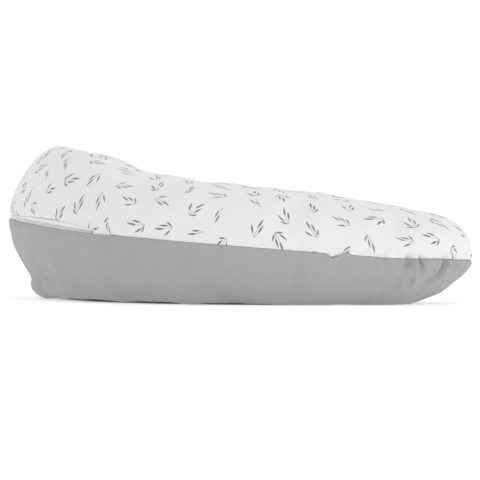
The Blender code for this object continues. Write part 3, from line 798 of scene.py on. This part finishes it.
def plain_cloth(name):
    tone, thread, bump, mottle, sheen = PLAIN_CLOTHS[name]
    made, tree, shader = new_material(name, 0.85, sheen=sheen)
    cloth_finish(tree, shader, tone, cloth_place(tree), thread, bump, mottle)
    return made


def fibre():
    """Loose polyester fibre: soft tangled strands."""
    made, tree, shader = new_material("fibre_strands", 0.95, sheen=0.4)
    tangle = noise(tree, object_place(tree), 120.0, 6.0, distortion=2.5)
    shade = maths(tree, "MULTIPLY_ADD", tangle, 0.16, 0.80)
    set_inputs(tree, shader, Base_Color=shade_colour(tree, shade),
               Normal=bumps(tree, tangle, 0.8, 0.002))
    return made


def coil_plastic():
    made, tree, shader = new_material("coil_nylon", 0.4)
    wear = noise(tree, object_place(tree), 700.0, 2.0)
    shade = maths(tree, "MULTIPLY_ADD", wear, 0.08, 0.73)
    rough = maths(tree, "MULTIPLY_ADD", wear, 0.25, 0.28)
    set_inputs(tree, shader, Base_Color=shade_colour(tree, shade), Roughness=rough)
    return made


def zip_metal():
    """Nickel-plated steel, finely brushed, with duller patches where it is handled."""
    made, tree, shader = new_material("brushed_nickel", 0.3, metallic=1.0)
    place = object_place(tree)
    grain = noise(tree, vector_maths(tree, "MULTIPLY", place, (900.0, 900.0, 9000.0)), 1.0, 3.0)
    patches = noise(tree, place, 260.0, 2.0)
    shade = maths(tree, "MULTIPLY_ADD", patches, 0.10, 0.43)
    rough = maths(tree, "MULTIPLY_ADD", grain, 0.16, 0.20)
    rough = maths(tree, "MULTIPLY_ADD", patches, 0.12, rough)
    set_inputs(tree, shader, Base_Color=shade_colour(tree, shade), Roughness=rough,
               Normal=bumps(tree, grain, 0.15, 0.00005))
    return made


def dress(piece, material, slot, *nodes):
    """Gives a new piece its material, lets it ride on the cover, and hides the CAD nodes that it stands
    for. slot, its slot's name in the record, is not used."""
    piece.data.materials.clear()
    piece.data.materials.append(material)
    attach(piece, "cover")
    if nodes:
        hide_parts(*nodes)


# ---------------- zip

def zip_frame(angle):
    """The zip's own axes at an angle around the bend, 0 at the front: X out, Y along it towards +X,
    Z across it."""
    tilt = Matrix.Rotation(-ZIP_TILT, 4, "X")
    around = Matrix.Rotation(angle - math.pi / 2, 4, "Z")
    return Matrix.Translation(ZIP_CENTRE) @ tilt @ around @ Matrix.Translation((ZIP_RADIUS, 0, 0))


def on_zip(angles, out, across):
    """Points in the zip's own axes, each at its own angle, in the frame's axes."""
    frames = np.array([zip_frame(a) for a in angles])
    none = np.zeros(len(frames))
    local = np.stack((none + out, none, none + across, none + 1), axis=-1)
    return np.einsum("nij,nj->ni", frames, local)[:, :3]


# A tape's section in millimetres, across from the zip's middle and out from its circle: the corded
# edge by the coil, the web with its reach as 1, and the corded edge's back
TAPE_CORD = ((0.34, -1.85), (0.60, -1.60), (1.30, -1.66), (1.60, -1.74))
TAPE_WEB = ((0.5, -2.25), (1.0, -3.15), (1.0, -3.60), (0.5, -2.72))
TAPE_BACK = ((1.30, -2.20), (0.60, -2.20))
TAPES_MEET, MEETING, TAPE_STEPS = 0.02, 0.004, 240


def zip_tape(side, sign, reach, cloth):
    """One tape: a woven band with a corded edge by the coil. Past the coil's ends the tapes meet."""
    web = [(share * reach, out) for share, out in TAPE_WEB]
    profile = np.array([*TAPE_CORD, *web, *TAPE_BACK]) / 1000
    angles = np.linspace(-TAPE_HALF_ANGLE, TAPE_HALF_ANGLE, TAPE_STEPS + 1)
    past = smooth_step((np.abs(angles) - COIL_HALF_ANGLE) * ZIP_RADIUS / MEETING)
    across = np.repeat(profile[:, :1], len(angles), axis=1)
    across[0] += (TAPES_MEET / 1000 - across[0]) * past
    rings = np.stack([on_zip(angles, out, row) for out, row in zip(profile[:, 1], sign * across)])
    ids = np.arange(across.size).reshape(across.shape)
    faces = strip_faces(ids, np.roll(ids, -1, axis=0)) + [ids[:, 0].tolist(), ids[:, -1].tolist()]
    tape = mesh_object("tape_" + side, rings.reshape(-1, 3), faces)
    steps = np.linalg.norm(np.diff(profile, axis=0), axis=1)
    around = np.concatenate(([0.0], np.cumsum(steps)))
    flat = np.stack(np.broadcast_arrays(angles[None] * ZIP_RADIUS, around[:, None]), axis=-1)
    add_flat_map(tape, flat.reshape(-1, 2))
    dress(tape, cloth, "zip_tape", "zip_" + tape.name)


def strip_faces(here, there):
    """Quads between each row of point numbers and its partner, open at the rows' ends."""
    quads = np.stack((here[:, :-1], here[:, 1:], there[:, 1:], there[:, :-1]), axis=-1)
    return quads.reshape(-1, 4).tolist()


def tubes(paths, beside, radius, sides):
    """The points and faces of capped tubes along paths of equal length. beside is a direction that
    no path ever runs in."""
    paths = np.asarray(paths)
    tangent = np.gradient(paths, axis=1)
    tangent /= np.linalg.norm(tangent, axis=2, keepdims=True)
    first = np.cross(tangent, beside)
    first /= np.linalg.norm(first, axis=2, keepdims=True)
    second = np.cross(tangent, first)
    angle = 2 * math.pi * np.arange(sides) / sides
    ring = first[:, :, None] * np.cos(angle)[:, None] + second[:, :, None] * np.sin(angle)[:, None]
    points = paths[:, :, None] + ring * np.asarray(radius)[..., None, None]
    ids = np.arange(points.size // 3).reshape(*paths.shape[:2], sides)
    faces = grid_faces(ids) + ids[:, 0].tolist() + ids[:, -1, ::-1].tolist()
    return points.reshape(-1, 3), faces


COIL_PITCH, COIL_WIRE = 0.00120, 0.00025
COIL_MIDDLE, COIL_REACH = 0.00060, 0.00074  # each row reaches in between the other's turns
COIL_OUT, COIL_DEPTH, COIL_GROOVE = -0.00120, 0.00045, 0.00060
COIL_POINTS, COIL_SIDES, COIL_AHEAD = 8, 6, 0.001


def zip_coil(side, sign, nylon):
    """One row of the coil: a wire that winds along the zip."""
    turns = round(2 * COIL_HALF_ANGLE * ZIP_RADIUS / COIL_PITCH)
    t = np.arange(turns * COIL_POINTS + 1) / COIL_POINTS
    angles = -COIL_HALF_ANGLE + t / turns * 2 * COIL_HALF_ANGLE
    turn = 2 * math.pi * t + (0 if sign > 0 else math.pi)
    out = COIL_OUT + COIL_DEPTH * np.cos(turn) - COIL_GROOVE * ((1 - np.sin(turn)) / 2) ** 2
    across = sign * (COIL_MIDDLE + COIL_REACH * np.sin(turn))
    path = on_zip(angles, out, across)
    ahead = on_zip(angles + COIL_AHEAD, out, across) - path
    points, faces = tubes(path[None], ahead[None], np.full((1, len(path)), COIL_WIRE), COIL_SIDES)
    coil = mesh_object("coil_" + side, points, faces)
    dress(coil, nylon, "zip_coil", "zip_" + coil.name)


STOP_LENGTH, STOP_GAP, STOP_OUT, STOP_HALF = 0.0017, 0.0004, -0.0013, 0.00075
STOP_CORNERS, STOP_RINGS = 16, ((0.0, 0.8), (0.12, 1.0), (0.88, 1.0), (1.0, 0.8))
# Each stop's range across the zip
STOPS = {
    "top_stop_upper": (0.0003, 0.0016),
    "top_stop_lower": (-0.0016, -0.0003),
    "bottom_stop": (-0.0014, 0.0014),
}


def zip_stop(name, metal):
    """A metal stop clamped on past the coil's end."""
    low, high = STOPS[name]
    past = STOP_GAP / ZIP_RADIUS
    start = COIL_HALF_ANGLE + past
    if name.startswith("top"):
        start = -start - STOP_LENGTH / ZIP_RADIUS
    turn = 2 * math.pi * (np.arange(STOP_CORNERS) + 0.5) / STOP_CORNERS
    out, across = [np.sign(side) * np.sqrt(np.abs(side)) for side in (np.cos(turn), np.sin(turn))]
    rings = []
    for share, size in STOP_RINGS:
        angles = np.full(STOP_CORNERS, start + share * STOP_LENGTH / ZIP_RADIUS)
        wide = (low + high) / 2 + (high - low) / 2 * size * across
        rings.append(on_zip(angles, STOP_OUT + STOP_HALF * size * out, wide))
    ids = np.arange(len(rings) * STOP_CORNERS).reshape(len(rings), -1)
    faces = grid_faces(ids) + [ids[0].tolist(), ids[-1, ::-1].tolist()]
    stop = mesh_object(name, np.concatenate(rings), faces)
    dress(stop, metal, "zip_metal", "zip_" + name)


STITCH, STITCH_GAP, THREAD, THREAD_SIDES = 0.0026, 0.0010, 0.00019, 6


def topstitch(name, line, panel_grid, material, slot):
    """Stitches along a folded edge beside the zip, at the same distance from it all along."""
    grid, past, normals = panel_grid
    near = np.nonzero(np.abs(line.zip_angle) < TAPE_HALF_ANGLE)[0]
    route = np.array([
        [np.interp(TOPSTITCH, past[:, i], grid[:, i, k]) for k in range(3)] for i in near
    ])
    ups = np.array([normals[np.argmin(np.abs(past[:, i] - TOPSTITCH)), i] for i in near])
    length = np.concatenate(([0], np.cumsum(np.linalg.norm(np.diff(route, axis=0), axis=1))))
    starts = np.arange(0.0, length[-1] - STITCH, STITCH + STITCH_GAP)
    shares = np.linspace(0, 1, 7)
    at = starts[:, None] + STITCH * shares
    path, up = (
        np.stack([np.interp(at, length, values[:, k]) for k in range(3)], axis=-1)
        for values in (route, ups)
    )
    path = path + up * (THREAD * (1.3 * np.sin(math.pi * shares) ** 0.5 - 0.6))[None, :, None]
    radius = THREAD * (0.55 + 0.45 * np.sin(math.pi * shares))
    points, faces = tubes(path, up, np.broadcast_to(radius, path.shape[:2]), THREAD_SIDES)
    stitches = mesh_object(name, points, faces)
    add_flat_map(stitches, points[:, [0, 2]])
    dress(stitches, material, slot)


# ---------------- inside, and the label

LINER_DEPTH, LINER_THICKNESS, FILL_DEPTH, BOTTOM_SINK = 0.0082, 0.0006, 0.0096, 0.0046
LINER_WAVE, LINER_WAVE_LENGTH, LINER_SEED = 0.0004, 0.03, 51
LUMP, LUMP_LENGTH, LUMP_SEED, LUMP_SINK, LUMP_TOP = 0.0006, 0.028, 52, 0.0004, 0.0002
LINER_SEAM_IN = 0.03  # share of its first row's width that the inner case's seam is drawn in


def sunk(points, normals, depth):
    moved = points - normals * depth
    moved[:, :, 2] -= BOTTOM_SINK * np.clip(-normals[:, :, 2], 0, 1) ** 2
    return moved


def make_inner_pillow(lining, filling):
    """The inner pillow: its own two panels, sewn along one seam, and the fibre inside them."""
    line, *grids = coarse_grids()
    filled = []
    for side, grid in zip(("top", "base"), grids):
        normals = grid_normals(grid, line)
        lift = floor_lift(line, grid) if side == "base" else 0.0
        skin = sunk(grid, normals, LINER_DEPTH)
        skin[0] += (skin[1] - skin[0]) * LINER_SEAM_IN
        waves = LINER_WAVE * ripples(grid, LINER_WAVE_LENGTH, LINER_SEED)
        waves *= smooth_step(np.arange(len(grid)) / 4)[:, None]
        skin += lift + normals * waves[:, :, None]
        flat = flattened(line, skin, line.middle)
        case = panel_shell("inner_case_" + side, line, skin, normals, LINER_THICKNESS, flat)
        dress(case, lining, "lining", "liner_" + side)
        lumps = np.minimum(LUMP * ripples(grid, LUMP_LENGTH, LUMP_SEED) - LUMP_SINK, LUMP_TOP)
        filled.append(sunk(grid, normals, FILL_DEPTH) + normals * lumps[:, :, None] + lift)
    filled[1][0] = filled[0][0]
    points, faces, _ = join_grids(*filled, line)
    stuffing = mesh_object("fibre_stuffing", points, faces)
    dress(stuffing, filling, "fibre", "fibre_fill")


LABEL_FLAT, LABEL_CLOTH = (0.030, 0.048), 0.00022
LABEL_SEWN, LABEL_FOLD = 0.0006, 0.0008  # how deep its ends are sewn in, and half of its fold's length
LABEL_CLEAR, CLEAR_BY = 0.0022, 0.10  # it comes out over the seam's puckers, in this share of it
LABEL_BILLOW, LABEL_APART, LABEL_CURL, LABEL_BEHIND = 0.0012, 0.0007, 0.0009, 0.0003


def make_label(satin):
    """A blank loop label: a strip folded in half, sewn into the waist-side seam."""
    low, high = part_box("care_label")
    middle = (low + high) / 2
    angle = math.atan2(middle.y - BEND_Y, middle.x)
    radius = INNER_RADIUS - SEAM_GAP
    width, half = LABEL_FLAT[0], LABEL_FLAT[1] / 2
    across = np.linspace(-0.5, 0.5, 17)
    down = np.linspace(0, LABEL_FLAT[1], 41)
    share = np.minimum(down, LABEL_FLAT[1] - down) / half  # 0 at the seam, 1 at the fold
    back = smooth_step((down - half + LABEL_FOLD) / (2 * LABEL_FOLD))
    out = LABEL_CLEAR * smooth_step(share / CLEAR_BY) - LABEL_SEWN - LABEL_APART * back
    out += LABEL_BILLOW * np.sin(2 * share) * share
    around = angle + across * width / radius
    seam = seam_height(BEND_Y + radius * np.sin(around) + DEPTH / 2)
    curl = LABEL_CURL * share[:, None] * (2 * across) ** 2
    r = radius - LABEL_BEHIND - out[:, None] - curl
    height = seam - LABEL_SEWN - (half - LABEL_FOLD) * share[:, None]
    grid = np.stack((r * np.cos(around), BEND_Y + r * np.sin(around), height), axis=-1)
    rows, columns = grid.shape[:2]
    ids = np.arange(rows * columns).reshape(rows, columns)
    faces = strip_faces(ids[:-1], ids[1:])
    label = mesh_object("blank_label", grid.reshape(-1, 3), faces, outward=False)
    flat = np.stack(np.broadcast_arrays(across[None] * width, down[:, None]), axis=-1)
    add_flat_map(label, flat.reshape(-1, 2))
    solid = label.modifiers.new("cloth_thickness", "SOLIDIFY")
    solid.thickness = LABEL_CLOTH
    solid.offset = 0
    dress(label, satin, "label", "care_label")


# ---------------- stage

CAMERA_DISTANCE, CAMERA_ELEVATION, FRAME_WIDTH = 4.5, math.radians(1.0), 0.4857
AIM = Vector((0.0, 0.0046, 0.0585))


def put(name, data, location):
    """Puts a camera or a light in the scene, turned towards the aim."""
    made = bpy.data.objects.new(name, data)
    made.location = location
    made.rotation_mode = "QUATERNION"
    made.rotation_quaternion = (made.location - AIM).to_track_quat("Z", "Y")
    bpy.context.scene.collection.objects.link(made)
    return made


def make_camera():
    lens = bpy.data.cameras.new("camera")
    lens.sensor_width = 36.0
    lens.lens = lens.sensor_width * CAMERA_DISTANCE / FRAME_WIDTH
    back = Vector((math.cos(CAMERA_ELEVATION), 0, math.sin(CAMERA_ELEVATION)))
    bpy.context.scene.camera = put("camera", lens, AIM + back * CAMERA_DISTANCE)


WHITE, SKY, FLOOR_SIZE, FLOOR_TONE = (1.0, 1.0, 1.0, 1.0), 1.0, 60.0, 0.68
# Painted shadow: the floor hardly glows in a ring under the bend, from UNLIT_INNER to UNLIT_RADIUS, in
# front of UNLIT_BACK
UNLIT_RADIUS, UNLIT_INNER, UNLIT_BACK, UNLIT_EDGE = 0.216, 0.115, 0.060, 0.020
FLOOR_GLOW, UNLIT_GLOW = 0.48, 0.035  # painted light: the floor glows as a light table would, and hardly glows in a painted shadow where the pillow lies
KEY_PLACE, KEY_SIZE, KEY_WATTS = (2.4, 2.8, 1.2), 0.8, 20


def make_stage():
    half = FLOOR_SIZE / 2
    corners = [(-half, -half, 0), (half, -half, 0), (half, half, 0), (-half, half, 0)]
    floor = mesh_object("floor", corners, [[0, 1, 2, 3]], outward=False)
    made, tree, shader = new_material("pale_floor_painted_glow", 0.9, specular=0.0)
    calc = partial(maths, tree)
    place = object_place(tree)
    shade = calc("MULTIPLY_ADD", noise(tree, place, 3.0, 2.0), 0.01, FLOOR_TONE)
    # Painted shadow: lit is 0 in the ring around the bend where the pillow lies, and 1 outside it, over
    # soft edges
    from_bend = vector_maths(tree, "SUBTRACT", place, (0.0, BEND_Y, 0.0))
    away = vector_maths(tree, "LENGTH", from_bend, output=1)
    along = axes(tree, place)[1]
    lit = 0.0
    limits = (away, UNLIT_RADIUS, 1), (along, UNLIT_BACK, 1), (away, UNLIT_INNER, -1)
    for value, edge, sign in limits:
        past = calc("MULTIPLY_ADD", value, sign / UNLIT_EDGE, -sign * edge / UNLIT_EDGE, clamp=True)
        lit = calc("MAXIMUM", lit, past)
    # Painted light: the floor's glow, full where lit is 1 and down to UNLIT_GLOW in the painted shadow
    glow = calc("MULTIPLY_ADD", lit, FLOOR_GLOW - UNLIT_GLOW, UNLIT_GLOW)
    set_inputs(tree, shader, Base_Color=shade_colour(tree, shade), Emission_Color=WHITE,
               Emission_Strength=glow)
    floor.data.materials.append(made)
    world = bpy.data.worlds.new("studio")
    world.use_nodes = True
    sky = world.node_tree
    set_inputs(sky, sky.nodes["Background"], Color=WHITE, Strength=SKY)
    bpy.context.scene.world = world
    lamp = bpy.data.lights.new("key", "AREA")
    lamp.size = KEY_SIZE
    lamp.energy = KEY_WATTS
    put("key", lamp, KEY_PLACE)
    bpy.context.scene.view_settings.view_transform = "Standard"


TAPE_REACHES = {"upper": (1, 7.5), "lower": (-1, 5.5)}  # which side of the zip, and millimetres across


def main():
    printed, plain, line, grids = make_cover()
    dress(printed, printed_cotton(), "printed_cotton", "cover_top")
    dress(plain, plain_cloth("grey_cotton_cloth"), "grey_cotton", "cover_base")
    tape_cloth, nylon, metal = plain_cloth("tape_weave"), coil_plastic(), zip_metal()
    for side, (sign, reach) in TAPE_REACHES.items():
        zip_tape(side, sign, reach, tape_cloth)
    for side, (sign, _) in TAPE_REACHES.items():
        zip_coil(side, sign, nylon)
    for name in STOPS:
        zip_stop(name, metal)
    for node in ("zip_slider", "zip_pull_tab"):
        frame["nodes"][node].data.materials.clear()
        frame["nodes"][node].data.materials.append(metal)
    topstitch("topstitch_upper", line, grids[0], plain_cloth("white_thread"), "printed_cotton")
    topstitch("topstitch_lower", line, grids[1], plain_cloth("grey_thread"), "grey_cotton")
    make_inner_pillow(plain_cloth("lining_cotton"), fibre())
    make_label(plain_cloth("satin_label"))
    make_camera()
    make_stage()


main()
